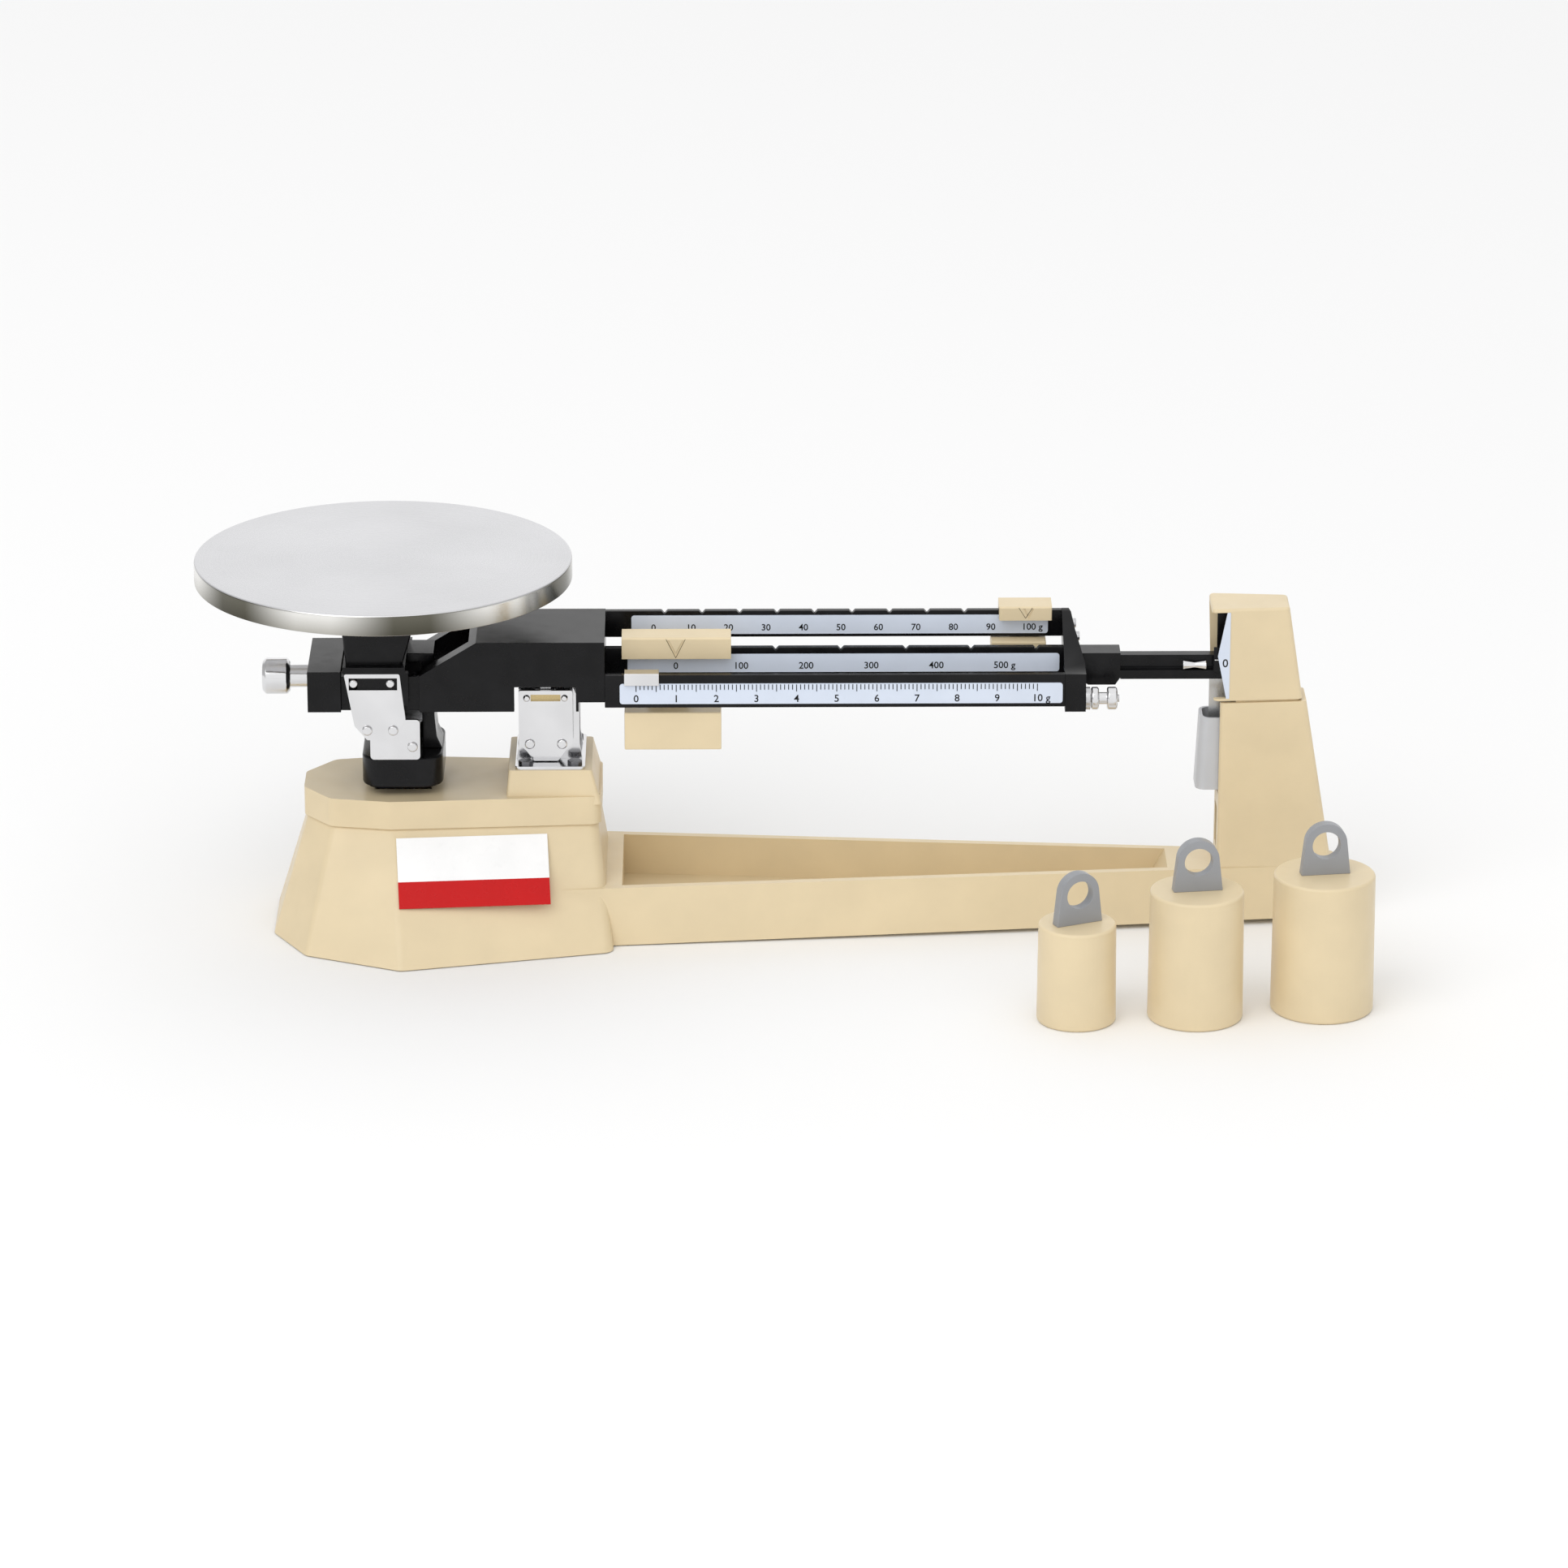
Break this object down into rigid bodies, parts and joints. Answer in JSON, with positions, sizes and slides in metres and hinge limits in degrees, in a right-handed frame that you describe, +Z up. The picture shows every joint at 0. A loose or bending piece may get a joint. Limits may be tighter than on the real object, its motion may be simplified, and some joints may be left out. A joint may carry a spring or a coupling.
{
  "type": "triple beam balance",
  "caption": "Laboratory balance: round pan on a knife-edge hanger, notched scale rails with sliding poises, pointer tower with damper, cast base with tray, and loose weights.",
  "frame": {"origin": "middle of the whole set's box, on the table", "axes": "+X along the beam from the pan to the pointer tower, +Y to the back, +Z up"},
  "size_m": [0.4694, 0.2098, 0.154],
  "materials": {
    "beige_paint": "satin",
    "black_paint": "gloss",
    "grey_paint": "satin",
    "scale_white": "satin",
    "label_enamel": "gloss",
    "bright_chrome": "polished",
    "pan_steel": "brushed",
    "zinc_steel": "satin",
    "plain_brass": "satin",
    "plain_aluminium": "satin",
    "black_rubber": "matt"
  },
  "bodies": {
    "root": {"base_casting": "beige_paint", "base_feet": "black_rubber", "base_screws": "zinc_steel", "label_panel": "label_enamel", "tower_body": "beige_paint", "tower_hood": "beige_paint", "tower_liner": "black_paint", "index_plate": "scale_white", "damper_cup": "grey_paint", "damper_magnets": "zinc_steel", "damper_shelf": "zinc_steel", "fulcrum_stand": "bright_chrome", "stand_bolts": "black_paint", "fulcrum_bearings": "zinc_steel", "fulcrum_end_plates": "plain_brass", "fulcrum_covers": "bright_chrome", "fulcrum_cover_screws": "bright_chrome", "link_base_pin": "zinc_steel"},
    "beam": {"beam_casting": "black_paint", "fulcrum_knife": "zinc_steel", "pan_knives": "zinc_steel", "front_rail": "black_paint", "centre_rail": "black_paint", "rear_rail": "black_paint", "front_scale_plate": "scale_white", "centre_scale_plate": "scale_white", "rear_scale_plate": "scale_white", "rail_end_frame": "black_paint", "end_frame_screws": "black_paint", "pointer_arm": "black_paint", "pointer": "black_paint", "weight_pin": "bright_chrome", "damper_vane": "plain_aluminium", "calibration_stud": "zinc_steel"},
    "calibration_nut": {"calibration_nut": "bright_chrome"},
    "zero_knob": {"zero_knob": "bright_chrome"},
    "zero_weight": {"zero_weight": "plain_brass"},
    "pan_hanger": {"pan_saddle": "black_paint", "hanger_covers": "bright_chrome", "hanger_bearings": "black_paint", "hanger_screws": "bright_chrome", "hanger_bracket": "bright_chrome", "hanger_post": "black_paint", "hanger_foot": "black_paint", "hanger_stem": "zinc_steel", "link_stem_pin": "zinc_steel"},
    "check_link": {"check_link": "zinc_steel"},
    "pan": {"pan": "pan_steel", "pan_socket": "pan_steel"},
    "front_poise": {"front_poise": "bright_chrome"},
    "centre_poise": {"centre_poise_cap": "beige_paint", "centre_poise_block": "beige_paint"},
    "rear_poise": {"rear_poise_cap": "beige_paint", "rear_poise_block": "beige_paint"},
    "small_weight": {"small_weight": "beige_paint", "small_weight_loop": "grey_paint"},
    "middle_weight": {"middle_weight": "beige_paint", "middle_weight_loop": "grey_paint"},
    "large_weight": {"large_weight": "beige_paint", "large_weight_loop": "grey_paint"}
  },
  "joints": [
    {"name": "beam_tilt", "type": "hinge", "parent": "root", "child": "beam", "pos_m": [-0.09367, 0.02892, 0.0985], "axis": [0, 1, 0], "range_deg": [-3, 3]},
    {"name": "pan_hanger_level", "type": "hinge", "parent": "beam", "child": "pan_hanger", "pos_m": [-0.15867, 0.02892, 0.101], "axis": [0, 1, 0], "range_deg": [-3, 3]},
    {"name": "check_link_turn", "type": "hinge", "parent": "root", "child": "check_link", "pos_m": [-0.08667, 0.02892, 0.0395], "axis": [0, 1, 0], "range_deg": [-3, 3]},
    {"name": "pan_lift", "type": "slide", "parent": "pan_hanger", "child": "pan", "axis": [0, 0, 1], "range_m": [0, 0.06]},
    {"name": "front_poise_slide", "type": "slide", "parent": "beam", "child": "front_poise", "axis": [1, 0, 0], "range_m": [0, 0.1612]},
    {"name": "centre_poise_slide", "type": "slide", "parent": "beam", "child": "centre_poise", "axis": [1, 0, 0], "range_m": [0, 0.1315]},
    {"name": "rear_poise_slide", "type": "slide", "parent": "beam", "child": "rear_poise", "axis": [1, 0, 0], "range_m": [-0.1521, 0]},
    {"name": "zero_knob_turn", "type": "hinge", "parent": "beam", "child": "zero_knob", "pos_m": [-0.18907, 0.02892, 0.1036], "axis": [1, 0, 0], "range_deg": [-900, 900]},
    {"name": "zero_weight_travel", "type": "slide", "parent": "beam", "child": "zero_weight", "axis": [1, 0, 0], "range_m": [-0.0025, 0.0025]},
    {"name": "calibration_nut_turn", "type": "hinge", "parent": "beam", "child": "calibration_nut", "pos_m": [0.12373, 0.00992, 0.0995], "axis": [1, 0, 0], "range_deg": [-720, 720]},
    {"name": "small_weight_lift", "type": "slide", "parent": "root", "child": "small_weight", "axis": [0, 0, 1], "range_m": [0, 0.06]},
    {"name": "middle_weight_lift", "type": "slide", "parent": "root", "child": "middle_weight", "axis": [0, 0, 1], "range_m": [0, 0.06]},
    {"name": "large_weight_lift", "type": "slide", "parent": "root", "child": "large_weight", "axis": [0, 0, 1], "range_m": [0, 0.06]}
  ],
  "couplings": [
    {"joint": "pan_hanger_level", "follows": "beam_tilt", "ratio": -1},
    {"joint": "check_link_turn", "follows": "beam_tilt", "ratio": 1},
    {"joint": "zero_knob_turn", "follows": "zero_weight_travel", "rad_per_m": -6283.2}
  ]
}
